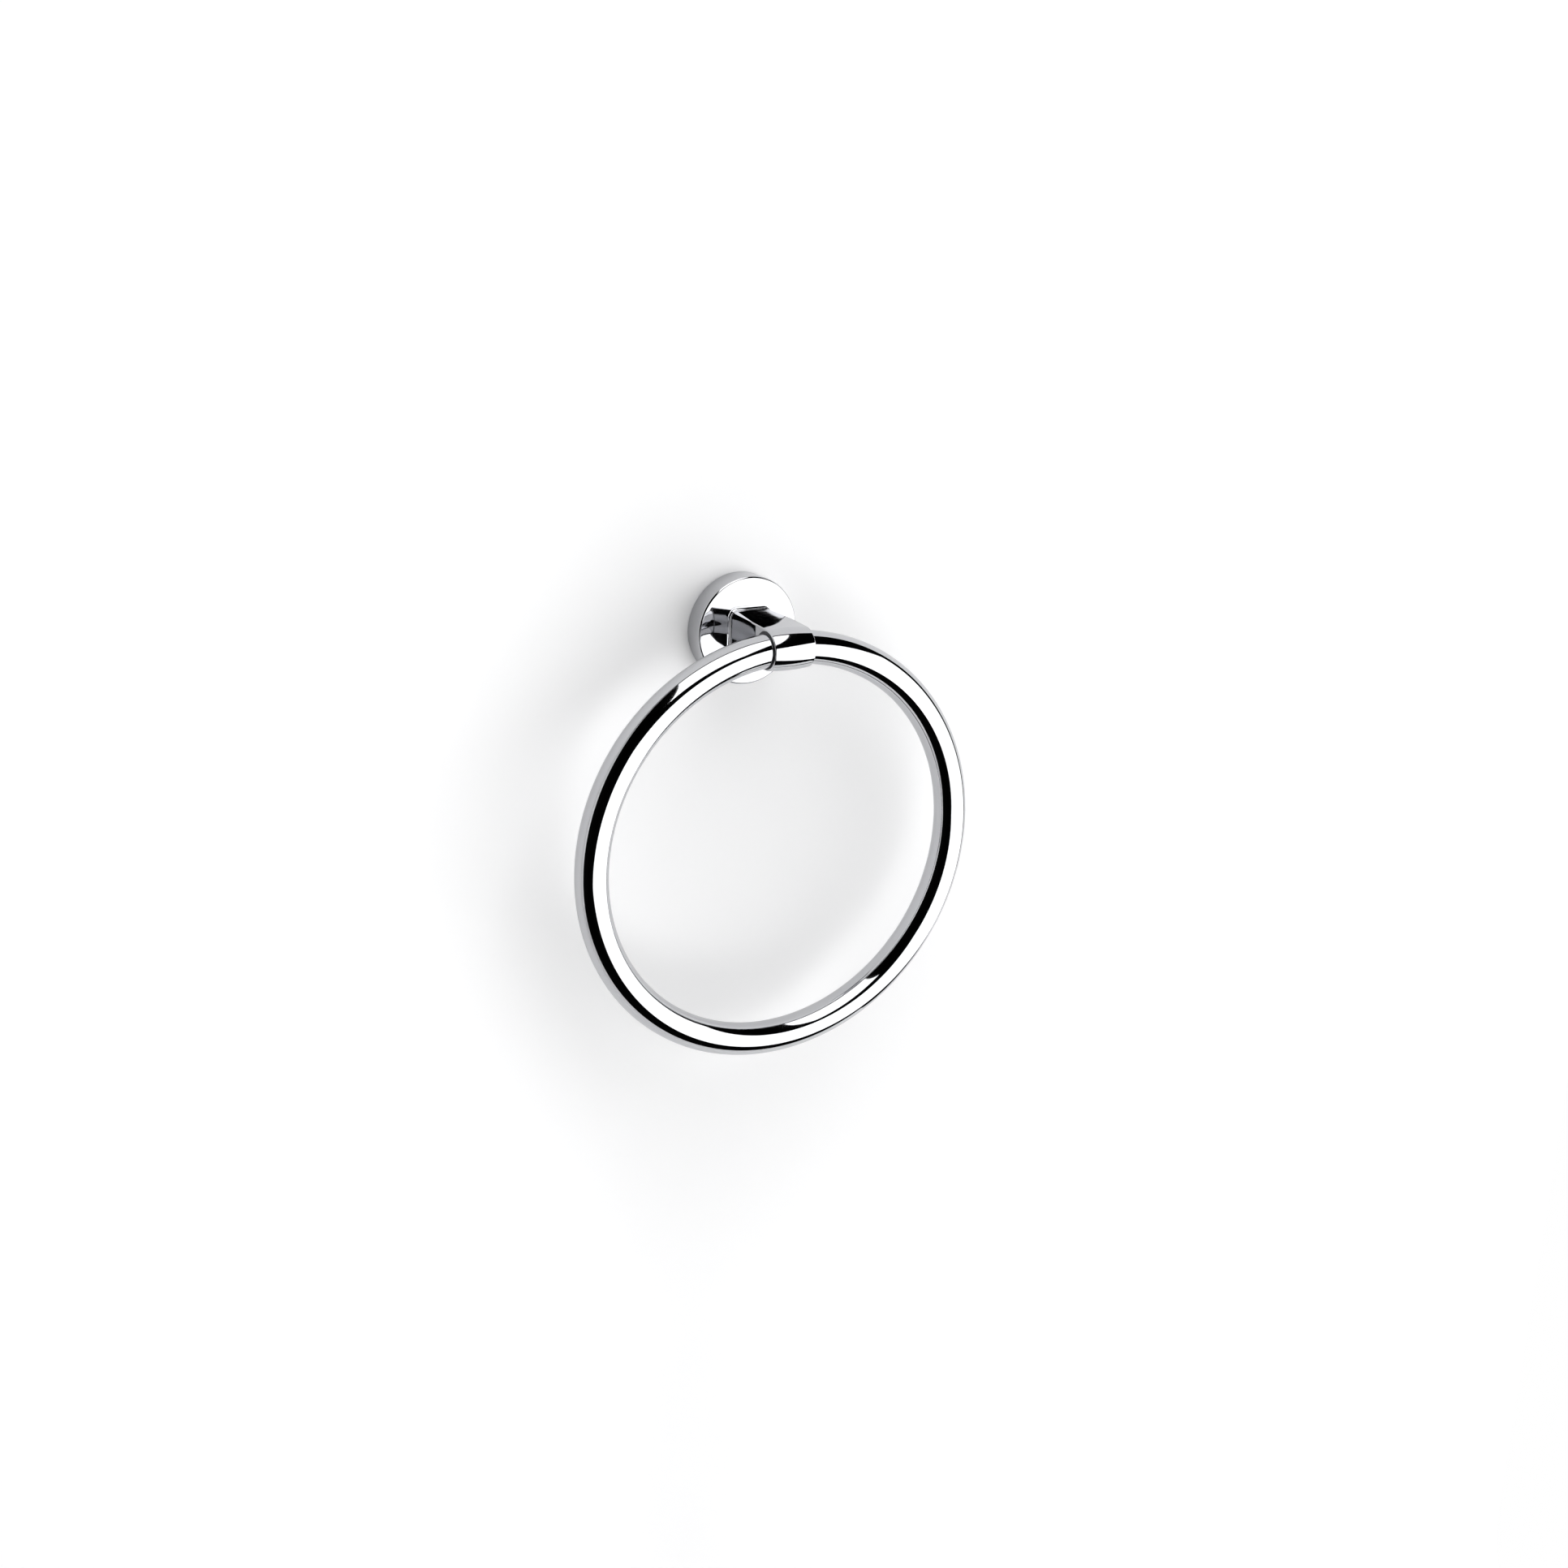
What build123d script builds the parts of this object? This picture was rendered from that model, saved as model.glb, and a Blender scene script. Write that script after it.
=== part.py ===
from build123d import *
from math import degrees, sqrt
import os

# A wall-mounted towel ring: a bent tube ring, held in the sleeve of a cast arm on a round rosette.
# Millimetres. The origin is the middle of the rosette on the wall plane. +Z is up, +X is to the
# right when the ring is faced, and +Y goes into the wall, so the part stands at negative Y.

# Ring: a bent tube whose two ends meet inside the sleeve
ring_diameter = 200.0  # outside
tube_diameter = 15.0
tube_wall = 1.0
seam_gap = 0.6  # between the two tube ends

# Rosette: a turned cup with a slightly domed face, which covers the wall bracket
rosette_diameter = 50.0
rosette_depth = 11.0  # at the face's edge
rosette_dome = 1.8  # rise of the face from its edge to its middle
rosette_face = 4.0  # thickness of the front plate at its edge
rosette_rim = 5.8  # thickness of the side wall
rosette_edge_radius = 0.8
rosette_back_chamfer = 0.3

# Arm: a cast block with a foot fillet at the rosette and a barrel-shaped sleeve at the ring
arm_reach = 34.3  # edge of the rosette's face to the sleeve's axis
arm_width = 20.4  # also the sleeve's length
sleeve_wall = 0.7  # outside the bushes, at the sleeve's ends
sleeve_crown = 0.6  # bulge of the sleeve in its middle
sleeve_edge_radius = 0.55
mouth_radius = 0.1  # rounding of the bush's seat at the sleeve's end
neck_length = 13.0  # from the sleeve's axis to where the corners start to open
foot_rise = 0.75  # of the arm's top from the sleeve to the foot, and of its underside downwards
foot_crown = 0.1  # bulge of the arm's top at the foot
foot_corner_radius = 3.8  # corners of the arm's section at the foot
foot_fillet = 1.3
foot_lip = 0.2  # margin outside the foot fillet, and its height

# Bushes: moulded liners in the sleeve's two mouths, bored along the bent tube
bush_wall = 0.55  # from the sleeve's bore to the bush's seat
bush_length = 5.0
bush_recess = 0.15  # below the sleeve's end

# Wall bracket: a grooved disc with two screw holes
bracket_thickness = 5.5
groove_depth = 1.4
groove_floor = 1.5  # width of the groove's floor
wall_screw_hole = 4.5
wall_screw_head = 8.8  # countersink diameter
wall_screw_inset = 5.6  # from the groove's floor to the hole's axis

# Clamp bolt: countersunk, from inside the rosette through the arm into the ring's dowel
bolt_diameter = 6.0
bolt_past_axis = 1.9  # from the sleeve's axis to the bolt's tip
bolt_head_diameter = 12.0
bolt_head_sink = 0.2  # below the rosette's inner face
bolt_socket = 4.0  # across flats
bolt_socket_depth = 2.5
bolt_tip_chamfer = 0.6

# Dowel that joins the tube ends and takes the bolt
dowel_length = 17.0
dowel_chamfer = 0.6

# Locating pins between the arm and the rosette
pin_diameter = 3.0
pin_length = 5.0
pin_inset = 2.4  # from the arm's side to the pin's axis
pin_chamfer = 0.3

# Grub screw under the rosette, whose point bears in the bracket's groove
grub_diameter = 5.0
grub_socket = 2.5  # across flats
grub_socket_depth = 2.2
grub_recess = 0.4  # below the rosette's outside
grub_point_diameter = 2.0
grub_point_gap = 0.4  # from the point to the groove's floor

# Clearances
tube_clearance = 0.1  # tube in sleeve and bushes, and dowel in tube, at the tightest place
bush_clearance = 0.05  # bush in its seat, radial
bracket_clearance = 0.2  # bracket in rosette, radial
hole_clearance = 0.2  # bolt in its plain holes, radial
thread_clearance = 0.05  # screw in its tapped hole, radial
pin_clearance = 0.03  # pin in its holes, radial
pin_end_gap = 0.1

# Places and sizes that follow
tube_radius = tube_diameter / 2
tube_bore_radius = tube_radius - tube_wall
spine_radius = ring_diameter / 2 - tube_radius


def bow(span):
    """Height of the ring's spine arc over a chord of this length."""
    return spine_radius - sqrt(spine_radius**2 - (span / 2) ** 2)


sleeve_bore_radius = tube_radius + bow(arm_width) / 2 + tube_clearance
bush_seat_radius = sleeve_bore_radius + bush_wall
bush_middle_x = arm_width / 2 - bush_recess - bush_length / 2
sleeve_radius = bush_seat_radius + sleeve_wall + sleeve_crown
rosette_radius = rosette_diameter / 2
rosette_bore_radius = rosette_radius - rosette_rim
rosette_cavity = rosette_depth - rosette_face
dome_radius = (rosette_radius**2 + rosette_dome**2) / (2 * rosette_dome)
dome_centre_y = dome_radius - rosette_depth - rosette_dome


def face_y(radius):
    """Depth of the rosette's domed face at a distance from its middle."""
    return dome_centre_y - sqrt(dome_radius**2 - radius**2)


ring_y = -(rosette_depth + arm_reach)
ring_top_z = bow(arm_width) / 2  # the bent tube lies evenly about the sleeve's axis
ring_centre_z = ring_top_z - spine_radius
bracket_radius = rosette_bore_radius - bracket_clearance
groove_radius = bracket_radius - groove_depth
groove_y = -bracket_thickness / 2
wall_screw_x = groove_radius - wall_screw_inset
bolt_radius = bolt_diameter / 2
bolt_hole_radius = bolt_radius + hole_clearance
bolt_head_y = -(rosette_cavity + bolt_head_sink)
bolt_tip_y = ring_y - bolt_past_axis
pin_x = arm_width / 2 - pin_inset
pin_y = face_y(pin_x)
pin_hole_radius = pin_diameter / 2 + pin_clearance
pin_hole_depth = pin_length / 2 + pin_end_gap


def bar_along_y(radius, y_start, y_end, x=0.0, z=0.0):
    """A round bar parallel to Y between two depths."""
    middle = (y_start + y_end) / 2
    return Pos(x, middle, z) * Rot(90, 0, 0) * Cylinder(radius, abs(y_end - y_start))


def bar_along_x(radius, x, length):
    """A round bar on the sleeve's axis, about a place along it."""
    return Pos(x, ring_y, 0) * Rot(0, 90, 0) * Cylinder(radius, length)


def turned_about_y(*outline):
    """A solid turned about Y from an outline of (radius, y) points."""
    return revolve(make_face(Polyline(*outline, close=True)), Axis.Y)


def at_pins(make):
    """The same feature at both locating pins."""
    return [make(x) for x in (-pin_x, pin_x)]


def at_mouths(make):
    """The same feature at both ends of the sleeve, from a bush's middle and its side."""
    return [make(side * bush_middle_x, side) for side in (-1, 1)]


def make_ring():
    """The bent tube, cut away behind its seam where the clamp bolt goes in."""
    wall = Circle(tube_radius) - Circle(tube_bore_radius)
    seam_angle = degrees(seam_gap / spine_radius)
    tube = revolve(Plane.YZ * Pos(0, spine_radius) * wall, Axis.Y, 360 - seam_angle)
    ring = Pos(0, ring_y, ring_centre_z) * Rot(0, seam_angle / 2, 0) * tube
    return ring - bar_along_y(bolt_hole_radius, ring_y, ring_y + tube_diameter)


def make_dowel():
    """The straight dowel inside the two tube ends, tapped across for the clamp bolt."""
    sag = bow(dowel_length)
    radius = tube_bore_radius - sag / 2 - tube_clearance
    z = ring_top_z - sag / 2
    dowel = Pos(0, ring_y, z) * Rot(0, 90, 0) * Cylinder(radius, dowel_length)
    dowel = chamfer(dowel.edges().filter_by(GeomType.CIRCLE), dowel_chamfer)
    return dowel - bar_along_y(bolt_radius + thread_clearance, bolt_tip_y - 1, ring_y + tube_radius)


def make_bushes():
    """Two liners that keep the tube off the sleeve's metal, each bored along the tube's bend."""
    bend = Torus(spine_radius, tube_radius + tube_clearance)
    tube_way = Pos(0, ring_y, ring_centre_z) * Rot(90, 0, 0) * bend
    blanks = at_mouths(lambda x, side: bar_along_x(bush_seat_radius - bush_clearance, x, bush_length))
    return Compound(children=[blank - tube_way for blank in blanks])


def make_rosette():
    """The cup over the wall bracket, with its face countersunk from inside for the clamp bolt."""
    sink_radius = bolt_head_diameter / 2 + bolt_head_sink + hole_clearance / 2
    sink_depth = sink_radius - bolt_hole_radius
    middle = (bolt_hole_radius, face_y(bolt_hole_radius))
    edge = (rosette_radius, -rosette_depth)
    halfway = (rosette_radius / 2, face_y(rosette_radius / 2))
    face = ThreePointArc(middle, halfway, edge)
    inside = Polyline(
        edge,
        (rosette_radius, 0),
        (rosette_bore_radius, 0),
        (rosette_bore_radius, -rosette_cavity),
        (sink_radius, -rosette_cavity),
        (bolt_hole_radius, -rosette_cavity - sink_depth),
        middle,
    )
    section = make_face(face + inside)
    outer = section.vertices().group_by(Axis.X)[-1].sort_by(Axis.Y)
    section = fillet(outer[0], rosette_edge_radius)
    back = section.vertices().group_by(Axis.X)[-1].sort_by(Axis.Y)[-1]
    section = chamfer(back, rosette_back_chamfer)
    cup = revolve(section, Axis.Y)
    cup -= at_pins(lambda x: bar_along_y(pin_hole_radius, pin_y - pin_hole_depth, pin_y + pin_hole_depth, x))
    tapped = grub_diameter / 2 + thread_clearance
    return cup - Pos(0, groove_y, -rosette_radius) * Cylinder(tapped, 2 * rosette_rim + 2 * groove_depth)


def make_arm():
    """The cast arm: a barrel-shaped sleeve, corners that open to the foot, and a fillet at the rosette."""
    edge = min(sleeve_edge_radius, sleeve_wall * 0.8)
    foot_y = -rosette_depth
    neck_share = neck_length / (foot_y - ring_y)
    neck_height = sleeve_radius + foot_rise * neck_share
    neck_crown = sleeve_crown + (foot_crown - sleeve_crown) * neck_share
    sleeve_section = arm_section(ring_y, sleeve_radius, sleeve_crown, edge)
    neck_section = arm_section(ring_y + neck_length, neck_height, neck_crown, edge)
    foot_section = arm_section(foot_y, sleeve_radius + foot_rise, foot_crown, foot_corner_radius)

    sleeve_axis = Axis((0, ring_y, 0), (1, 0, 0))
    arm = revolve(split(sleeve_section, Plane.XY), sleeve_axis, 180)
    arm += loft([sleeve_section, neck_section], ruled=True)
    arm += loft([neck_section, foot_section], ruled=True)

    pad = offset(foot_section, foot_fillet + foot_lip)
    arm += extrude(pad, rosette_dome + arm_reach / 2, dir=(0, -1, 0)) & dome(foot_lip)
    arm -= dome()
    shoulder = [f for f in arm.faces().filter_by(GeomType.SPHERE) if f.inner_wires()]
    arm = fillet(shoulder[0].inner_wires()[0].edges(), foot_fillet)

    arm -= bar_along_x(sleeve_bore_radius, 0, arm_width)
    seat_length = bush_length + 2 * bush_recess
    arm -= at_mouths(lambda x, side: bar_along_x(bush_seat_radius, x + side * bush_recess, seat_length))
    seats = [e for e in arm.edges().filter_by(GeomType.CIRCLE) if abs(e.radius - bush_seat_radius) < 0.001]
    mouths = [e for e in seats if abs(e.center().X) > bush_middle_x]
    arm = fillet(mouths, min(mouth_radius, sleeve_wall * 0.15))
    arm -= bar_along_y(bolt_hole_radius, ring_y, 0)
    return arm - at_pins(lambda x: bar_along_y(pin_hole_radius, foot_y, pin_y - pin_hole_depth, x))


def arm_section(y, half_height, crown, corner):
    """The arm's section at a depth: flat sides, and a top and underside that bulge by the crown."""
    side = arm_width / 2
    shoulder = half_height - crown
    top = ThreePointArc((-side, shoulder), (0, half_height), (side, shoulder))
    underside = ThreePointArc((side, -shoulder), (0, -half_height), (-side, -shoulder))
    right = Line(top @ 1, underside @ 0)
    left = Line(underside @ 1, top @ 0)
    section = make_face(top + right + underside + left)
    return Plane.XZ.offset(-y) * fillet(section.vertices(), corner)


def dome(skin=0.0):
    """The ball that the rosette's face is a part of, grown by a skin."""
    return Pos(0, dome_centre_y, 0) * Sphere(dome_radius + skin)


def make_bracket():
    """The grooved disc that is screwed to the wall."""
    floor = groove_floor / 2
    rim = floor + groove_depth
    disc = turned_about_y(
        (0, 0),
        (bracket_radius, 0),
        (bracket_radius, groove_y + rim),
        (groove_radius, groove_y + floor),
        (groove_radius, groove_y - floor),
        (bracket_radius, groove_y - rim),
        (bracket_radius, -bracket_thickness),
        (0, -bracket_thickness),
    )
    hole = wall_screw_hole / 2
    sink = wall_screw_head / 2
    screw_way = turned_about_y(
        (0, 0),
        (hole, 0),
        (hole, sink - hole - bracket_thickness),
        (sink, -bracket_thickness),
        (0, -bracket_thickness),
    )
    return disc - [Pos(x, 0, 0) * screw_way for x in (-wall_screw_x, wall_screw_x)]


def make_bolt():
    """The countersunk clamp bolt, with a hexagon socket in its head."""
    head = bolt_head_diameter / 2
    bolt = turned_about_y(
        (0, bolt_head_y),
        (head, bolt_head_y),
        (bolt_radius, bolt_head_y - (head - bolt_radius)),
        (bolt_radius, bolt_tip_y + bolt_tip_chamfer),
        (bolt_radius - bolt_tip_chamfer, bolt_tip_y),
        (0, bolt_tip_y),
    )
    socket = RegularPolygon(bolt_socket / 2, 6, major_radius=False)
    return bolt - extrude(Plane.XZ.offset(-bolt_head_y) * socket, bolt_socket_depth)


def make_pins():
    """Two plain pins that keep the arm from turning on the rosette."""
    pins = at_pins(lambda x: bar_along_y(pin_diameter / 2, pin_y - pin_length / 2, pin_y + pin_length / 2, x))
    return Compound(children=[chamfer(p.edges().filter_by(GeomType.CIRCLE), pin_chamfer) for p in pins])


def make_grub():
    """The pointed grub screw, driven upwards from below the rosette."""
    radius = grub_diameter / 2
    point = grub_point_diameter / 2
    low_z = -(rosette_radius - grub_recess)
    point_z = -(groove_radius + grub_point_gap)
    outline = make_face(
        Polyline(
            (0, low_z),
            (radius, low_z),
            (radius, point_z - (radius - point)),
            (point, point_z),
            (0, point_z),
            close=True,
        )
    )
    grub = revolve(Plane.XZ * outline, Axis.Z)
    socket = RegularPolygon(grub_socket / 2, 6, major_radius=False)
    grub -= extrude(Plane.XY.offset(low_z) * socket, grub_socket_depth)
    return Pos(0, groove_y, 0) * grub


def main():
    """Writes one file per piece."""
    os.makedirs("parts", exist_ok=True)
    pieces = {
        "ring": make_ring(),
        "ring_dowel": make_dowel(),
        "arm": make_arm(),
        "sleeve_bushes": make_bushes(),
        "rosette": make_rosette(),
        "wall_bracket": make_bracket(),
        "clamp_bolt": make_bolt(),
        "locating_pins": make_pins(),
        "rosette_grub_screw": make_grub(),
    }
    for name, shape in pieces.items():
        export_step(shape, f"parts/{name}.step")


main()
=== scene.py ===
"""A wall-mounted towel ring in polished chrome: finishes, tube, rosette and screws, stage and camera.

Metres, in the row's own frame: the wall is the plane Y = 0, Z is up and the object stands at negative Y.
"""

from math import asin, cos, pi, radians, sin

import bpy
from mathutils import Matrix, Vector


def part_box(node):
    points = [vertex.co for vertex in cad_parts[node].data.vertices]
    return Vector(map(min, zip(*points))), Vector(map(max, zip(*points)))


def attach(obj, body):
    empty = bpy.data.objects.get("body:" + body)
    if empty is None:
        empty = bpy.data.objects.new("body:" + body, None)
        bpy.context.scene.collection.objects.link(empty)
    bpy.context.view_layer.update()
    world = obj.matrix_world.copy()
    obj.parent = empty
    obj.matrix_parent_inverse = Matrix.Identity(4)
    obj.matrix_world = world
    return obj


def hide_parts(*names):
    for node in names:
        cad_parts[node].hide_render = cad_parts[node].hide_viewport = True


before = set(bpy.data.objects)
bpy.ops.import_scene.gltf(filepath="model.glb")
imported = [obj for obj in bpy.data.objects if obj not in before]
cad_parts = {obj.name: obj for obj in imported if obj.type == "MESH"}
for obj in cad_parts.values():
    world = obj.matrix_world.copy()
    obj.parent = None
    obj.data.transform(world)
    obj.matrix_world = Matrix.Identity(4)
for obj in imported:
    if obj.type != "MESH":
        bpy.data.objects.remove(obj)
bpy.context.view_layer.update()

# Places on the object, worked out from the frame
ring_low, ring_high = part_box("ring")
RING_CENTRE = (ring_low + ring_high) / 2
WALL_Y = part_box("rosette")[1].y
grub_low, grub_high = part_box("rosette_grub_screw")
GRUB_Y = (grub_low.y + grub_high.y) / 2

# All meshes made here
WELD = 1e-6  # points closer than this are one
SHARP_ANGLE = radians(30)  # an edge that turns by more stays hard

# Ring: a bent tube
TUBE_RADIUS = (ring_high.y - ring_low.y) / 2
RING_RADIUS = (ring_high.x - ring_low.x) / 2 - TUBE_RADIUS  # to the middle of the tube
TUBE_WALL = 0.001
SEAM_GAP = 0.0006  # between the tube's two ends, inside the sleeve
BOLT_HOLE_RADIUS = 0.0032
STEPS_ALONG = 320
STEPS_ROUND = 80

# Rosette: a turned cup with a domed face
ROSETTE_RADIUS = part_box("rosette")[1].z
ROSETTE_DEPTH = 0.011  # at the face's edge
ROSETTE_DOME = 0.0018  # rise of the face from its edge to its middle
ROSETTE_EDGE_RADIUS = 0.0012
ROSETTE_CHAMFER = 0.0003  # at the wall
CUP_RADIUS = 0.0192
CUP_DEPTH = 0.007
SINK_RADIUS = 0.0063  # of the countersink for the clamp bolt's head
PIN_RADIUS = 0.0015
PIN_HOLE_RADIUS = 0.00153
PIN_END_GAP = 0.0001
TAPPED_RADIUS = 0.00255  # of the grub screw's hole
TAPPED_FROM = 1.2 * ROSETTE_RADIUS  # below the rosette's side
TAPPED_TO = 0.9 * CUP_RADIUS  # in the hollow of the cup
TURNED_STEPS = 256
DOME_STEPS = 16
EDGE_STEPS = 12
HOLE_STEPS = 48

# Screws: the core is an outline of (radius, height over the foot), flats and socket are the key's
# width and depth
BAR_SIDES = 4  # of the bar that is wound to a thread
KEY_SIDES = 6
THREAD_STEPS = 48  # in each turn
SCREW_STEPS = 96  # round the core
RIDGE_SHARE = 0.45  # height of the thread to its pitch
SCREWS = {
    "clamp_bolt": dict(
        core=(
            (0, 0), (0.006, 0), (0.003, 0.003), (0.003, 0.0198),
            (0.00255, 0.02025), (0.00255, 0.0396), (0.0024, 0.040), (0, 0.040),
        ),
        turn=(pi / 2, 0, 0), foot=(0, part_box("clamp_bolt")[1].y, 0),
        radius=0.003, pitch=0.001, start=0.0205, length=0.0182, flats=0.004, socket=0.0025,
    ),
    "rosette_grub_screw": dict(
        core=((0, 0), (0.00214, 0), (0.00214, 0.00546), (0.001, 0.0066), (0, 0.0066)),
        turn=(0, 0, 0), foot=(0, GRUB_Y, grub_low.z),
        radius=0.0025, pitch=0.0008, start=0.0004, length=0.0044, flats=0.0025, socket=0.0022,
    ),
}

# Finishes
NOISE_SPAN = (0.3, 0.7)  # where most values of a noise lie
MIX_FIRST, MIX_SECOND, MIX_RESULT = 6, 7, 2  # colour sockets of a Mix node
WAVE_BAND = pi / 10  # width of a band in a wave texture of scale 1
FINE_MARKS = dict(pitch=0.0002, depth=4e-6)  # of the tool on turned steel
COARSE_MARKS = dict(pitch=0.0003, depth=8e-6)
WHITE = (1, 1, 1, 1)

# Camera, as it stood for the photograph
IMAGE_PIXELS = 1932
FOCAL_PIXELS = 2662.36
SENSOR_MM = 36.0
CLIP_START = 0.01
CAMERA_DISTANCE = 0.97386  # from the ring's centre
CAMERA_AZIMUTH = radians(30.319)  # to the left of straight in front
CAMERA_ELEVATION = radians(19.420)
AIM_AZIMUTH = radians(30.408)  # of the line that the camera looks along
AIM_ELEVATION = radians(17.745)
CAMERA_ROLL = radians(2.159)

# Backdrop: a white sheet on the wall that turns forward at its left and lower edges
WALL_GAP = 0.0002  # behind the rosette's back
SHEET_LEFT = -1.30
SHEET_RIGHT = 0.62
SHEET_TOP = 3.0
FLOOR_Z = -0.80
RETURN_DEPTH = 0.24  # how far the two turned edges come forward
BEND_RADIUS = 0.12
BEND_STEPS = 12
PAPER_WHITE = (0.94, 0.94, 0.945, 1)

# Painted light added to the paper beside the real light on it: less to the right, more away from the ring,
# so a painted shade lies round the middle of what the ring frames
PAINTED_LIGHT_LEFT, PAINTED_LIGHT_RIGHT = 0.25, 0.115
PAINTED_LIGHT_FROM, PAINTED_LIGHT_TO = -0.16, 0.0  # X between which the first goes over to the second
PAINTED_LIGHT_AWAY = 0.10
AWAY_FROM, AWAY_TO = 0.08, 0.26  # from the middle of what the ring frames on the wall; nearer than this there is less painted light, a painted shade
FRAMED_MIDDLE = (0.03, 0.0, -0.10)
METAL_SHARE = 0.25  # of the painted light in what the metal mirrors

# Soft white window behind the wall, seen only in reflections: where it starts and is full, by direction
WINDOW_BACK = (0.30, 0.60)
WINDOW_UP = (-0.4, 0.5)
WINDOW_LOW = 0.25  # share of the light that its lower part has
WINDOW_LIGHT = 2.0

# Dark room around the stage, seen only in reflections
ROOM_HALF_WIDTH = 3.2
ROOM_DEPTH = 4.5
ROOM_BLACK = (0.004, 0.004, 0.004, 1)

# Light panels: centre from the ring's centre, turn of the normal in degrees, half sizes, brightness
PANELS = {
    "right_panel": dict(
        centre=(0.2993, -1.3780, -0.1538), yaw=54.83, pitch=-16.65, roll=5.65,
        half_width=1.543, half_height=0.735, radiance=2.0,
    ),
    "top_panel": dict(
        centre=(0.045, -0.9222, 1.2472), yaw=0, pitch=90, roll=0,
        half_width=0.535, half_height=0.8525, radiance=2.0,
    ),
}


def add_node(tree, kind, inputs=(), **settings):
    """A node with its settings; each input is given a value, or a link where the value is a socket."""
    node = tree.nodes.new(kind)
    for name, value in settings.items():
        setattr(node, name, value)
    for key, value in dict(inputs).items():
        if isinstance(value, bpy.types.NodeSocket):
            tree.links.new(value, node.inputs[key])
        else:
            node.inputs[key].default_value = value
    return node


def calc(tree, operation, *values):
    return add_node(tree, "ShaderNodeMath", dict(enumerate(values)), operation=operation).outputs[0]


def object_from(name, data):
    obj = bpy.data.objects.new(name, data)
    bpy.context.collection.objects.link(obj)
    return obj


# Materials


def new_material(name):
    material = bpy.data.materials.new(name)
    material.use_nodes = True
    material.node_tree.nodes.clear()
    return material, material.node_tree


def surface(tree, shader):
    add_node(tree, "ShaderNodeOutputMaterial", {"Surface": shader.outputs[0]})


def noise(tree, cells, detail):
    """Noise of this many cells to the metre, fixed to the object."""
    place = add_node(tree, "ShaderNodeTexCoord").outputs["Object"]
    inputs = {"Vector": place, "Scale": cells, "Detail": detail}
    return add_node(tree, "ShaderNodeTexNoise", inputs).outputs["Fac"]


def eased(tree, value, start, end, low, high):
    """A value's way from start to end made a soft way from low to high."""
    inputs = {"Value": value, "From Min": start, "From Max": end, "To Min": low, "To Max": high}
    return add_node(tree, "ShaderNodeMapRange", inputs, interpolation_type="SMOOTHSTEP").outputs["Result"]


def two_tones(tree, factor, first, second):
    inputs = {"Factor": factor, MIX_FIRST: (*first, 1), MIX_SECOND: (*second, 1)}
    return add_node(tree, "ShaderNodeMix", inputs, data_type="RGBA").outputs[MIX_RESULT]


def patterned_surface(tree, metallic, pattern, tones, roughness, bumps, depth):
    """A surface whose tone and roughness follow a pattern, with bumps of this depth."""
    relief = add_node(tree, "ShaderNodeBump", {"Height": bumps, "Distance": depth})
    shader = add_node(tree, "ShaderNodeBsdfPrincipled", {
        "Metallic": metallic,
        "Base Color": two_tones(tree, pattern, *tones),
        "Roughness": eased(tree, pattern, *NOISE_SPAN, *roughness),
        "Normal": relief.outputs["Normal"],
    })
    surface(tree, shader)


def polished_chrome():
    """Mirror plate, a little cool, with the faint haze and waviness that buffing leaves."""
    material, tree = new_material("polished_chrome")
    patterned_surface(
        tree, metallic=1.0, pattern=noise(tree, cells=90, detail=4),
        tones=((0.590, 0.594, 0.612), (0.610, 0.614, 0.632)), roughness=(0.03, 0.06),
        bumps=noise(tree, cells=40, detail=0), depth=6e-6,
    )
    return material


def zinc_casting():
    """Tumbled casting: satin grey, mottled, with a fine grain."""
    material, tree = new_material("zinc_casting")
    patterned_surface(
        tree, metallic=0.9, pattern=noise(tree, cells=220, detail=5),
        tones=((0.36, 0.37, 0.38), (0.48, 0.49, 0.50)), roughness=(0.34, 0.50),
        bumps=noise(tree, cells=1400, detail=3), depth=3e-5,
    )
    return material


def turned_steel(name, axis, pitch, depth):
    """Bright steel with tool marks that follow each other along the axis at this pitch."""
    material, tree = new_material(name)
    place = add_node(tree, "ShaderNodeTexCoord").outputs["Object"]
    marks = add_node(tree, "ShaderNodeTexWave", {
        "Vector": place, "Scale": WAVE_BAND / pitch, "Distortion": 0.4, "Detail Scale": 2.0,
    }, wave_type="BANDS", bands_direction=axis)
    patterned_surface(
        tree, metallic=1.0, pattern=noise(tree, cells=300, detail=3),
        tones=((0.46, 0.46, 0.45), (0.54, 0.54, 0.53)), roughness=(0.20, 0.32),
        bumps=marks.outputs["Fac"], depth=depth,
    )
    return material


def blackened_steel():
    """Dark oxide, worn a little paler in places."""
    material, tree = new_material("dark_steel")
    patterned_surface(
        tree, metallic=0.9, pattern=noise(tree, cells=700, detail=4),
        tones=((0.12, 0.12, 0.13), (0.21, 0.21, 0.22)), roughness=(0.32, 0.48),
        bumps=noise(tree, cells=2500, detail=2), depth=1e-5,
    )
    return material


def moulded_plastic():
    """Matt dark grey with the fine grain of a spark-eroded mould."""
    material, tree = new_material("dark_plastic")
    grain = noise(tree, cells=3000, detail=3)
    patterned_surface(
        tree, metallic=0.0, pattern=grain,
        tones=((0.048, 0.048, 0.053), (0.062, 0.062, 0.067)), roughness=(0.45, 0.60),
        bumps=grain, depth=1e-5,
    )
    return material


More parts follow.
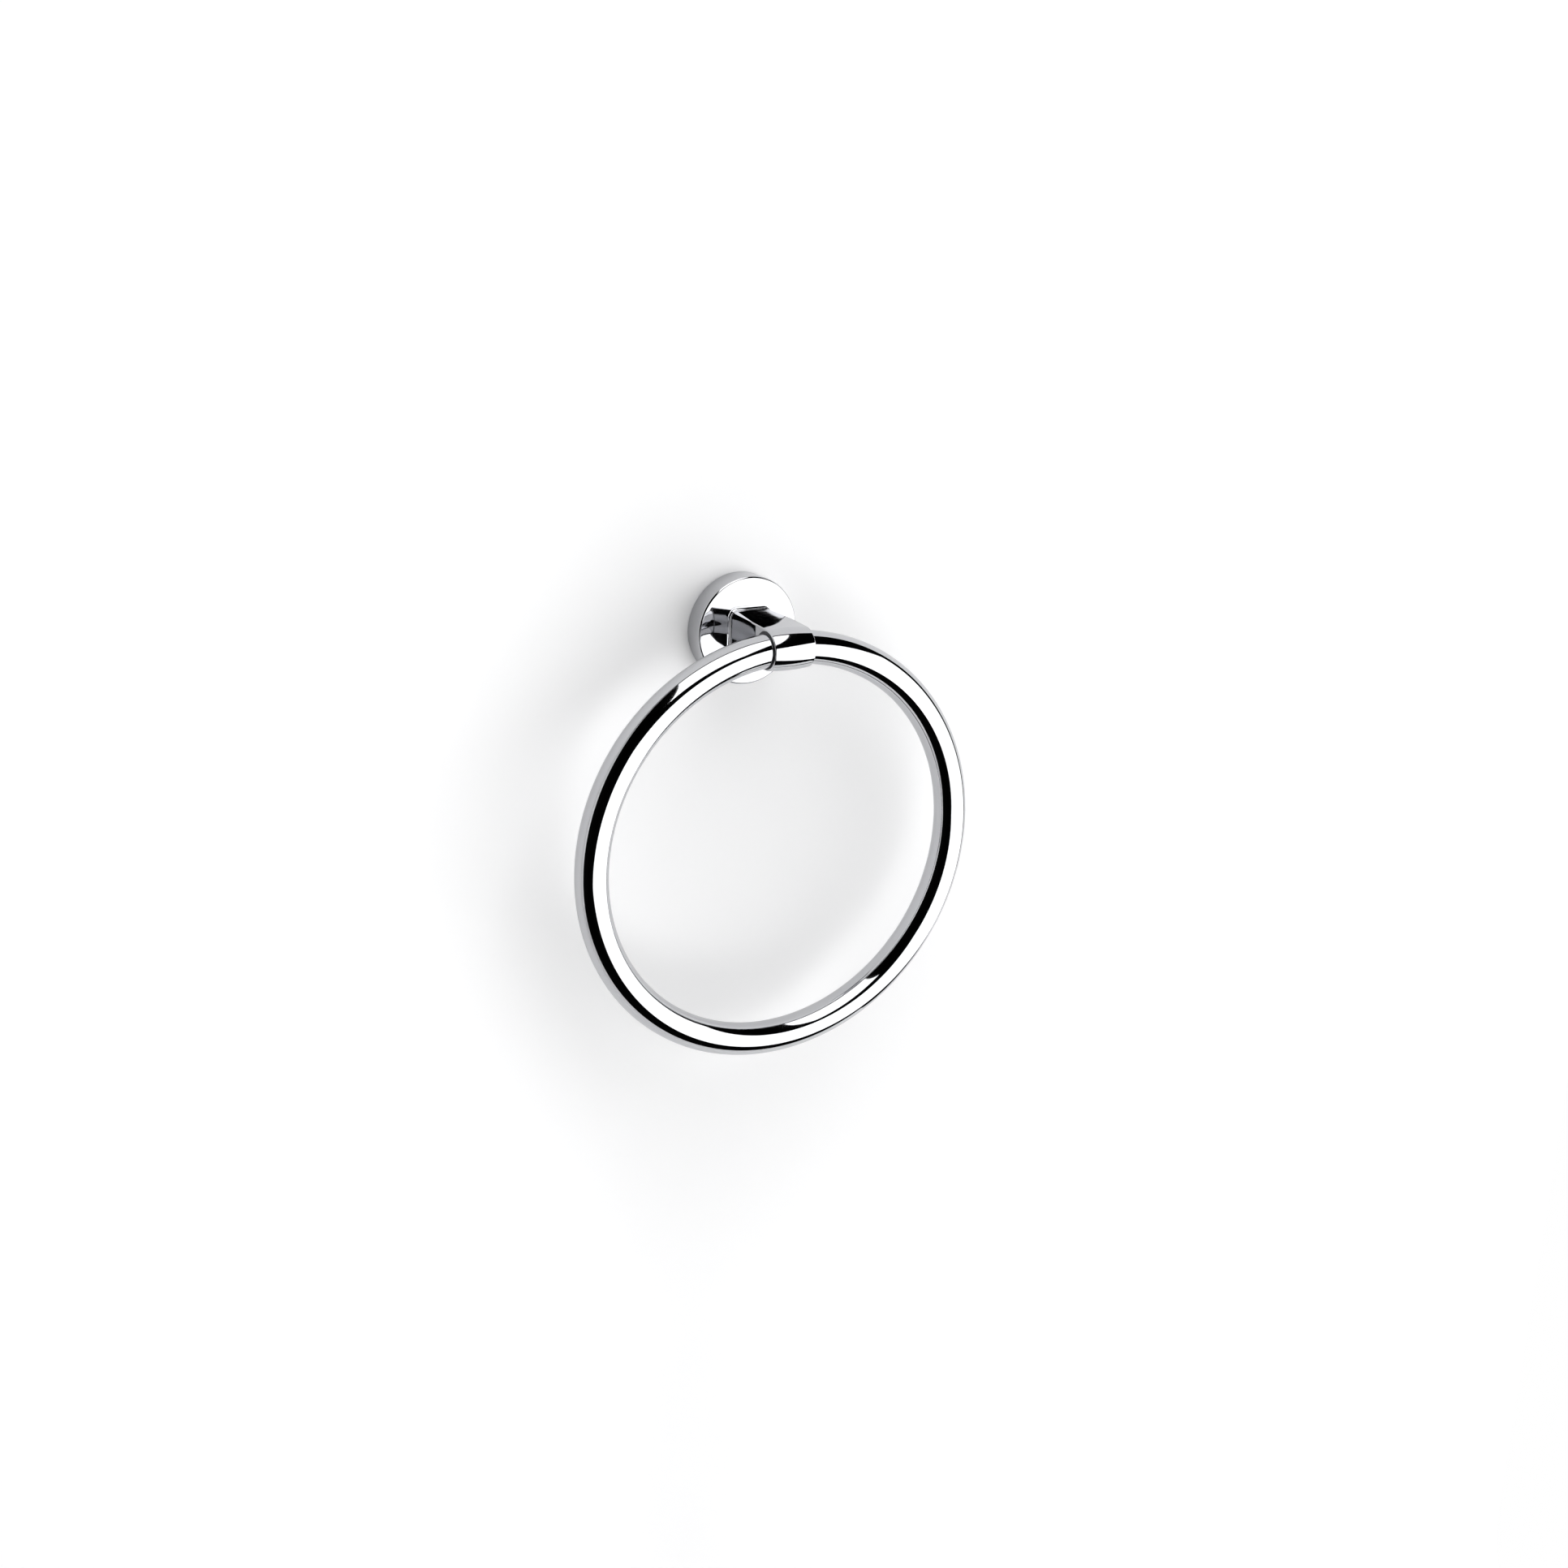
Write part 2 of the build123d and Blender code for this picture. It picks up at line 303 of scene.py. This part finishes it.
def paper_with_painted_light():
    """White paper from its front with painted light added on it, and nothing to what comes from behind it
    or has passed through it.
    """
    material, tree = new_material("backdrop_painted_light")
    path = add_node(tree, "ShaderNodeLightPath").outputs
    place = add_node(tree, "ShaderNodeTexCoord").outputs["Object"]

    # Painted light, more to the left and more away from the ring, with a painted shade round the middle of
    # what the ring frames: the camera sees all of it, the metal a share of it, and nothing is lit by it
    across = add_node(tree, "ShaderNodeSeparateXYZ", {0: place}).outputs["X"]
    away = add_node(tree, "ShaderNodeVectorMath", {0: place, 1: FRAMED_MIDDLE}, operation="DISTANCE")
    painted_light = calc(
        tree, "ADD",
        eased(tree, across, PAINTED_LIGHT_FROM, PAINTED_LIGHT_TO, PAINTED_LIGHT_LEFT, PAINTED_LIGHT_RIGHT),
        eased(tree, away.outputs["Value"], AWAY_FROM, AWAY_TO, 0.0, PAINTED_LIGHT_AWAY),
    )
    mirrored = calc(tree, "MULTIPLY", path["Is Glossy Ray"], METAL_SHARE)
    seen = calc(tree, "MAXIMUM", path["Is Camera Ray"], mirrored)
    # Painted light: an emission on the paper that stands in for more light on the wall
    white = add_node(tree, "ShaderNodeEmission", {"Strength": calc(tree, "MULTIPLY", seen, painted_light)})
    paper = add_node(tree, "ShaderNodeBsdfDiffuse", {"Color": PAPER_WHITE})
    paper_plus_painted_light = add_node(tree, "ShaderNodeAddShader", {0: paper.outputs[0], 1: white.outputs[0]})

    clear = add_node(tree, "ShaderNodeBsdfTransparent")
    behind = add_node(tree, "ShaderNodeNewGeometry").outputs["Backfacing"]
    came_through = calc(tree, "MINIMUM", calc(tree, "MAXIMUM", behind, path["Transparent Depth"]), 1.0)
    shader = add_node(tree, "ShaderNodeMixShader", {
        "Fac": came_through, 1: paper_plus_painted_light.outputs[0], 2: clear.outputs[0],
    })
    surface(tree, shader)
    return material


def plain_white():
    material, tree = new_material("plain_white")
    surface(tree, add_node(tree, "ShaderNodeEmission", {"Color": WHITE, "Strength": 1.0}))
    return material


def room_black():
    material, tree = new_material("room_black")
    surface(tree, add_node(tree, "ShaderNodeBsdfDiffuse", {"Color": ROOM_BLACK}))
    return material


# Geometry Nodes, run once and kept as plain meshes


def new_geometry_tree(name, sizes, start=None):
    """An empty geometry tree with an input for a start mesh, if it has a name, and one for each size."""
    tree = bpy.data.node_groups.new(name, "GeometryNodeTree")
    if start:
        tree.interface.new_socket(start, in_out="INPUT", socket_type="NodeSocketGeometry")
    kinds = {int: "NodeSocketInt", float: "NodeSocketFloat", tuple: "NodeSocketVector"}
    for label, value in sizes.items():
        tree.interface.new_socket(label, in_out="INPUT", socket_type=kinds[type(value)])
    tree.interface.new_socket("Geometry", in_out="OUTPUT", socket_type="NodeSocketGeometry")
    return tree, add_node(tree, "NodeGroupInput").outputs


def finish_tree(tree, geometry, material):
    """Ends a tree: smooth but for its hard edges, real, and in its material."""
    smooth = add_node(tree, "GeometryNodeSetShadeSmooth", {
        "Geometry": geometry, "Shade Smooth": True,
    }, domain="FACE")
    angle = add_node(tree, "GeometryNodeInputMeshEdgeAngle").outputs["Unsigned Angle"]
    edged = add_node(tree, "GeometryNodeSetShadeSmooth", {
        "Geometry": smooth.outputs[0],
        "Selection": calc(tree, "GREATER_THAN", angle, SHARP_ANGLE),
        "Shade Smooth": False,
    }, domain="EDGE")
    real = add_node(tree, "GeometryNodeRealizeInstances", {"Geometry": edged.outputs[0]})
    dressed = add_node(tree, "GeometryNodeSetMaterial", {"Geometry": real.outputs[0], "Material": material})
    add_node(tree, "NodeGroupOutput", {"Geometry": dressed.outputs[0]})


def piece_from_tree(name, tree, sizes, start=None):
    """The tree run once with these sizes, on a start mesh if there is one, as a plain mesh object."""
    carrier = object_from(name, start or bpy.data.meshes.new(name))
    modifier = carrier.modifiers.new("shape", "NODES")
    modifier.node_group = tree
    for item in tree.interface.items_tree:
        if item.name in sizes:
            modifier[item.identifier] = sizes[item.name]
    shaped = carrier.evaluated_get(bpy.context.evaluated_depsgraph_get())
    mesh = bpy.data.meshes.new_from_object(shaped)
    carrier.modifiers.clear()
    carrier.data = mesh
    return carrier


def bent_tube(material):
    """A thin-walled tube bent to a ring, its ends meeting at the top, with a bolt hole in the seam."""
    sizes = {
        "Ring Radius": RING_RADIUS, "Tube Radius": TUBE_RADIUS, "Tube Wall": TUBE_WALL,
        "Seam Gap": SEAM_GAP, "Bolt Hole Radius": BOLT_HOLE_RADIUS,
        "Steps Along": STEPS_ALONG, "Steps Round": STEPS_ROUND, "Centre": tuple(RING_CENTRE),
    }
    tree, size = new_geometry_tree("bent_tube", sizes)

    # The bend lies flat in XY at first, open at the top by the seam's gap
    half_gap = calc(tree, "DIVIDE", calc(tree, "DIVIDE", size["Seam Gap"], 2.0), size["Ring Radius"])
    bend = add_node(tree, "GeometryNodeCurveArc", {
        "Resolution": size["Steps Along"],
        "Radius": size["Ring Radius"],
        "Start Angle": calc(tree, "ADD", half_gap, pi / 2),
        "Sweep Angle": calc(tree, "SUBTRACT", 2 * pi, calc(tree, "MULTIPLY", half_gap, 2.0)),
    }, mode="RADIUS")
    section = add_node(tree, "GeometryNodeCurvePrimitiveCircle", {
        "Resolution": size["Steps Round"], "Radius": size["Tube Radius"],
    }, mode="RADIUS")
    skin = add_node(tree, "GeometryNodeCurveToMesh", {
        "Curve": bend.outputs[0], "Profile Curve": section.outputs[0], "Fill Caps": False,
    })

    # The inner wall and the two end rims come from the skin pushed inward
    pushed = add_node(tree, "GeometryNodeExtrudeMesh", {
        "Mesh": skin.outputs[0],
        "Offset Scale": calc(tree, "MULTIPLY", size["Tube Wall"], -1.0),
        "Individual": False,
    }, mode="FACES")
    inside = add_node(tree, "GeometryNodeFlipFaces", {"Mesh": pushed.outputs["Mesh"]})
    both = add_node(tree, "GeometryNodeJoinGeometry", {"Geometry": skin.outputs[0]})
    tree.links.new(inside.outputs[0], both.inputs["Geometry"])
    tube = add_node(tree, "GeometryNodeMergeByDistance", {"Geometry": both.outputs[0], "Distance": WELD})

    # The bolt comes in from the wall's side, through the seam
    bit = add_node(tree, "GeometryNodeMeshCylinder", {
        "Vertices": size["Steps Round"],
        "Radius": size["Bolt Hole Radius"],
        "Depth": calc(tree, "MULTIPLY", size["Tube Radius"], 2.0),
    })
    at_seam = add_node(tree, "ShaderNodeCombineXYZ", {
        "Y": size["Ring Radius"], "Z": calc(tree, "MULTIPLY", size["Tube Radius"], -1.0),
    })
    set_bit = add_node(tree, "GeometryNodeTransform", {
        "Geometry": bit.outputs["Mesh"], "Translation": at_seam.outputs[0],
    })
    drilled = add_node(tree, "GeometryNodeMeshBoolean", {
        "Mesh 1": tube.outputs[0], "Mesh 2": set_bit.outputs[0],
    }, operation="DIFFERENCE", solver="EXACT")

    stood = add_node(tree, "GeometryNodeTransform", {
        "Geometry": drilled.outputs["Mesh"], "Translation": size["Centre"], "Rotation": (pi / 2, 0, 0),
    })
    finish_tree(tree, stood.outputs[0], material)

    piece = piece_from_tree("ring_tube", tree, sizes)
    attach(piece, "root")
    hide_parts("ring")


# The rosette and the screws, turned on a lathe


def rosette_outline():
    """The cup's section as (radius, height off the wall), from the bolt hole over the face and back."""
    ball = (ROSETTE_RADIUS**2 + ROSETTE_DOME**2) / (2 * ROSETTE_DOME)  # radius of the domed face
    ball_height = ROSETTE_DEPTH + ROSETTE_DOME - ball
    edge_radius = ROSETTE_RADIUS - ROSETTE_EDGE_RADIUS
    edge_turn = asin(edge_radius / (ball - ROSETTE_EDGE_RADIUS))  # where the face goes over to its edge
    edge_height = ball_height + (ball - ROSETTE_EDGE_RADIUS) * cos(edge_turn)
    first_turn = asin(BOLT_HOLE_RADIUS / ball)
    outline = []
    for step in range(DOME_STEPS):
        turn = first_turn + (edge_turn - first_turn) * step / DOME_STEPS
        outline.append((ball * sin(turn), ball_height + ball * cos(turn)))
    for step in range(EDGE_STEPS + 1):
        turn = edge_turn + (pi / 2 - edge_turn) * step / EDGE_STEPS
        rise = ROSETTE_EDGE_RADIUS * cos(turn)
        outline.append((edge_radius + ROSETTE_EDGE_RADIUS * sin(turn), edge_height + rise))
    sink_depth = SINK_RADIUS - BOLT_HOLE_RADIUS
    return outline + [
        (ROSETTE_RADIUS, ROSETTE_CHAMFER),
        (ROSETTE_RADIUS - ROSETTE_CHAMFER, 0.0),
        (CUP_RADIUS, 0.0),
        (CUP_RADIUS, CUP_DEPTH),
        (SINK_RADIUS, CUP_DEPTH),
        (BOLT_HOLE_RADIUS, CUP_DEPTH + sink_depth),
    ]


def turned_mesh(name, outline, steps):
    """A closed outline of (radius, height) turned about the Z axis."""
    points = []
    faces = []
    count = len(outline)
    for s in range(steps):
        turn = 2 * pi * s / steps
        points += [(radius * cos(turn), radius * sin(turn), height) for radius, height in outline]
        here, there = s * count, (s + 1) % steps * count
        for i in range(count):
            j = (i + 1) % count
            faces.append((here + i, here + j, there + j, there + i))
    mesh = bpy.data.meshes.new(name)
    mesh.from_pydata(points, [], faces)
    return mesh


def drill(obj, name, radius, start, end):
    """Cuts a round hole from start to end out of an object."""
    way = Vector(end) - Vector(start)
    side = way.orthogonal().normalized()
    up = way.normalized().cross(side)
    points = []
    for foot in (Vector(start), Vector(end)):
        for s in range(HOLE_STEPS):
            turn = 2 * pi * s / HOLE_STEPS
            points.append(foot + (side * cos(turn) + up * sin(turn)) * radius)
    ends = [tuple(reversed(range(HOLE_STEPS))), tuple(range(HOLE_STEPS, 2 * HOLE_STEPS))]
    sides = []
    for s in range(HOLE_STEPS):
        after = (s + 1) % HOLE_STEPS
        sides.append((s, after, after + HOLE_STEPS, s + HOLE_STEPS))
    mesh = bpy.data.meshes.new(name)
    mesh.from_pydata(points, [], ends + sides)
    cutter = object_from(name, mesh)
    cut = obj.modifiers.new(name, "BOOLEAN")
    cut.operation = "DIFFERENCE"
    cut.solver = "EXACT"
    cut.object = cutter
    drilled = obj.evaluated_get(bpy.context.evaluated_depsgraph_get())
    obj.data = bpy.data.meshes.new_from_object(drilled)
    obj.modifiers.clear()
    bpy.data.objects.remove(cutter)


def turned_rosette(material):
    """The cup over the wall bracket, with its holes for the pins and the grub screw."""
    cup = turned_mesh("rosette_cup", rosette_outline(), TURNED_STEPS)
    cup.transform(Matrix.Rotation(pi / 2, 4, "X"))
    rosette = object_from("rosette_cup", cup)
    pins_low, pins_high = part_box("locating_pins")
    pin_x = pins_high.x - PIN_RADIUS
    pin_front, pin_back = pins_low.y - PIN_END_GAP, pins_high.y + PIN_END_GAP
    for name, x in (("left_pin_hole", -pin_x), ("right_pin_hole", pin_x)):
        drill(rosette, name, PIN_HOLE_RADIUS, (x, pin_front, 0), (x, pin_back, 0))
    drill(rosette, "tapped_hole", TAPPED_RADIUS, (0, GRUB_Y, -TAPPED_FROM), (0, GRUB_Y, -TAPPED_TO))
    rosette.data.shade_smooth()
    rosette.data.set_sharp_from_angle(angle=SHARP_ANGLE)
    rosette.data.materials.append(material)
    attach(rosette, "root")
    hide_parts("rosette")


def threaded_screw(node, core, turn, foot, radius, pitch, start, length, flats, socket, slot, material):
    """A turned core with a thread wound on it and a hexagon socket in the end that is its foot."""
    sizes = {
        "Thread Radius": radius, "Thread Pitch": pitch, "Thread Start": start, "Thread Length": length,
        "Socket Flats": flats, "Socket Depth": socket, "Steps": THREAD_STEPS, "Turn": turn, "Foot": foot,
    }
    tree, size = new_geometry_tree(node + "_screw", sizes, start="Core")

    # The thread is a square bar on edge, half sunk in the core, wound up along it
    ridge = calc(tree, "MULTIPLY", size["Thread Pitch"], RIDGE_SHARE)
    root = calc(tree, "SUBTRACT", size["Thread Radius"], ridge)
    helix = add_node(tree, "GeometryNodeCurveSpiral", {
        "Resolution": size["Steps"],
        "Rotations": calc(tree, "DIVIDE", size["Thread Length"], size["Thread Pitch"]),
        "Start Radius": root, "End Radius": root, "Height": size["Thread Length"],
    })
    level = add_node(tree, "GeometryNodeSetCurveNormal", {"Curve": helix.outputs[0]}, mode="Z_UP")
    bar = add_node(tree, "GeometryNodeCurvePrimitiveCircle", {
        "Resolution": BAR_SIDES, "Radius": ridge,
    }, mode="RADIUS")
    wound = add_node(tree, "GeometryNodeCurveToMesh", {
        "Curve": level.outputs[0], "Profile Curve": bar.outputs[0], "Fill Caps": True,
    })
    at_start = add_node(tree, "ShaderNodeCombineXYZ", {"Z": size["Thread Start"]})
    thread = add_node(tree, "GeometryNodeTransform", {
        "Geometry": wound.outputs[0], "Translation": at_start.outputs[0],
    })
    solid = add_node(tree, "GeometryNodeMergeByDistance", {"Geometry": size["Core"], "Distance": WELD})
    joined = add_node(tree, "GeometryNodeMeshBoolean", {
        "Mesh 2": solid.outputs[0],
    }, operation="UNION", solver="EXACT")
    tree.links.new(thread.outputs[0], joined.inputs["Mesh 2"])

    # The socket is as wide across its flats as the key
    corner = calc(tree, "DIVIDE", size["Socket Flats"], 2 * cos(pi / KEY_SIDES))
    key = add_node(tree, "GeometryNodeMeshCylinder", {
        "Vertices": KEY_SIDES,
        "Radius": corner,
        "Depth": calc(tree, "MULTIPLY", size["Socket Depth"], 2.0),
    })
    keyed = add_node(tree, "GeometryNodeMeshBoolean", {
        "Mesh 1": joined.outputs["Mesh"], "Mesh 2": key.outputs["Mesh"],
    }, operation="DIFFERENCE", solver="EXACT")
    laid = add_node(tree, "GeometryNodeTransform", {
        "Geometry": keyed.outputs["Mesh"], "Translation": size["Foot"], "Rotation": size["Turn"],
    })
    finish_tree(tree, laid.outputs[0], material)

    core_mesh = turned_mesh(node + "_core", core, SCREW_STEPS)
    piece = piece_from_tree(node + "_threaded", tree, sizes, core_mesh)
    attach(piece, "root")
    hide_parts(node)


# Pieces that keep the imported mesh


def dress(node, material):
    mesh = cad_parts[node].data
    mesh.materials.clear()
    mesh.materials.append(material)


# Stage, light and camera


def toward(azimuth, elevation):
    """Unit vector from the object to the front, at an azimuth (positive to the right) and an elevation."""
    return Vector((sin(azimuth) * cos(elevation), -cos(azimuth) * cos(elevation), sin(elevation)))


def axes_of(normal, azimuth, roll):
    """Sideways and upward axes square to a normal of this azimuth, turned by roll."""
    side = Vector((cos(azimuth), sin(azimuth), 0))
    up = normal.cross(side)
    return side * cos(roll) + up * sin(roll), up * cos(roll) - side * sin(roll)


def placed(side, up, back, position):
    """Matrix with these axes as its X, Y and Z, at a position."""
    turn = Matrix((side, up, back)).transposed()
    return Matrix.Translation(position) @ turn.to_4x4()


def add_camera():
    data = bpy.data.cameras.new("camera")
    data.sensor_width = SENSOR_MM
    data.lens = FOCAL_PIXELS / IMAGE_PIXELS * SENSOR_MM
    data.clip_start = CLIP_START
    camera = object_from("camera", data)
    back = toward(-AIM_AZIMUTH, AIM_ELEVATION)
    side, up = axes_of(back, -AIM_AZIMUTH, CAMERA_ROLL)
    position = RING_CENTRE + toward(-CAMERA_AZIMUTH, CAMERA_ELEVATION) * CAMERA_DISTANCE
    camera.matrix_world = placed(side, up, back, position)
    bpy.context.scene.camera = camera


def add_panel(name, centre, yaw, pitch, roll, half_width, half_height, radiance):
    """A flat light panel of even brightness that faces the object."""
    data = bpy.data.lights.new(name, "AREA")
    data.shape = "RECTANGLE"
    data.size = 2 * half_width
    data.size_y = 2 * half_height
    data.energy = radiance * pi * data.size * data.size_y
    panel = object_from(name, data)
    normal = toward(radians(yaw), radians(pitch))
    side, up = axes_of(normal, radians(yaw), radians(roll))
    panel.matrix_world = placed(side, up, normal, RING_CENTRE + Vector(centre))
    panel.visible_camera = False


def stage_mesh(name, points, faces, material):
    mesh = bpy.data.meshes.new(name)
    mesh.from_pydata(points, [], faces)
    mesh.materials.append(material)
    obj = object_from(name, mesh)
    return obj


def bent_edge(edge, far):
    """Pairs of (place along the sheet, depth forward) from its far side to an edge and round its bend."""
    sign = 1 if edge > far else -1
    stations = [(far, 0.0)]
    for step in range(BEND_STEPS + 1):
        turn = pi / 2 * step / BEND_STEPS
        along = edge - sign * BEND_RADIUS * (1 - sin(turn))
        stations.append((along, BEND_RADIUS * (1 - cos(turn))))
    stations.append((edge, RETURN_DEPTH))
    return stations


def add_sheet(name, columns, rows, material):
    """A sheet on the wall through the stations of its columns (along X) and rows (along Z)."""
    points = []
    for z, row_depth in rows:
        for x, column_depth in columns:
            points.append((x, WALL_Y + WALL_GAP - max(row_depth, column_depth), z))
    faces = []
    wide = len(columns)
    for r in range(len(rows) - 1):
        for c in range(wide - 1):
            a = r * wide + c
            faces.append((a, a + 1, a + 1 + wide, a + wide))
    sheet = stage_mesh(name, points, faces, material)
    sheet.data.shade_smooth()
    return sheet


def add_backdrop():
    rows = bent_edge(FLOOR_Z, SHEET_TOP)
    # Its paper carries painted light, with a painted shade round the middle of what the ring frames
    add_sheet("backdrop", bent_edge(SHEET_LEFT, SHEET_RIGHT), rows, paper_with_painted_light())
    # Past the sheet's right edge, where the wall has gone to white, only the camera sees more of it
    side = add_sheet("backdrop_side", [(ROOM_HALF_WIDTH, 0.0), (SHEET_RIGHT, 0.0)], rows, plain_white())
    side.visible_diffuse = False
    side.visible_glossy = False
    side.visible_transmission = False
    side.visible_shadow = False


def add_dark_room():
    """A box in front of the wall, black inside and open to it."""
    w, near, far = ROOM_HALF_WIDTH, WALL_Y + WALL_GAP, -ROOM_DEPTH
    points = [(x, y, z) for y in (near, far) for z in (-w, w) for x in (-w, w)]
    faces = [(0, 1, 5, 4), (2, 6, 7, 3), (0, 4, 6, 2), (1, 3, 7, 5), (4, 5, 7, 6)]
    room = stage_mesh("dark_room", points, faces, room_black())
    room.visible_camera = False


def add_world():
    """White to the camera; to the metal a soft white window behind the wall, in the dark."""
    world = bpy.data.worlds.new("studio")
    world.use_nodes = True
    tree = world.node_tree
    tree.nodes.clear()
    direction = add_node(tree, "ShaderNodeTexCoord").outputs["Generated"]
    part = add_node(tree, "ShaderNodeSeparateXYZ", {0: direction}).outputs
    window = calc(
        tree, "MULTIPLY",
        eased(tree, part["Y"], *WINDOW_BACK, 0.0, 1.0),
        eased(tree, part["Z"], *WINDOW_UP, WINDOW_LOW * WINDOW_LIGHT, WINDOW_LIGHT),
    )
    to_camera = add_node(tree, "ShaderNodeLightPath").outputs["Is Camera Ray"]
    sky = add_node(tree, "ShaderNodeBackground", {
        "Color": WHITE, "Strength": calc(tree, "MAXIMUM", to_camera, window),
    })
    add_node(tree, "ShaderNodeOutputWorld", {"Surface": sky.outputs[0]})
    bpy.context.scene.world = world


bpy.context.scene.view_settings.view_transform = "Standard"
add_camera()
add_world()
add_backdrop()
add_dark_room()
for panel_name, panel in PANELS.items():
    add_panel(panel_name, **panel)

chrome = polished_chrome()
bent_tube(chrome)
turned_rosette(chrome)
dress("arm", chrome)
dress("sleeve_bushes", moulded_plastic())
dress("wall_bracket", zinc_casting())
threaded_screw(
    "clamp_bolt", **SCREWS["clamp_bolt"], slot="plain_steel",
    material=turned_steel("bolt_steel", "Y", **FINE_MARKS),
)
threaded_screw(
    "rosette_grub_screw", **SCREWS["rosette_grub_screw"], slot="dark_steel",
    material=blackened_steel(),
)
dress("ring_dowel", turned_steel("dowel_steel", "X", **COARSE_MARKS))
dress("locating_pins", turned_steel("pin_steel", "Y", **COARSE_MARKS))
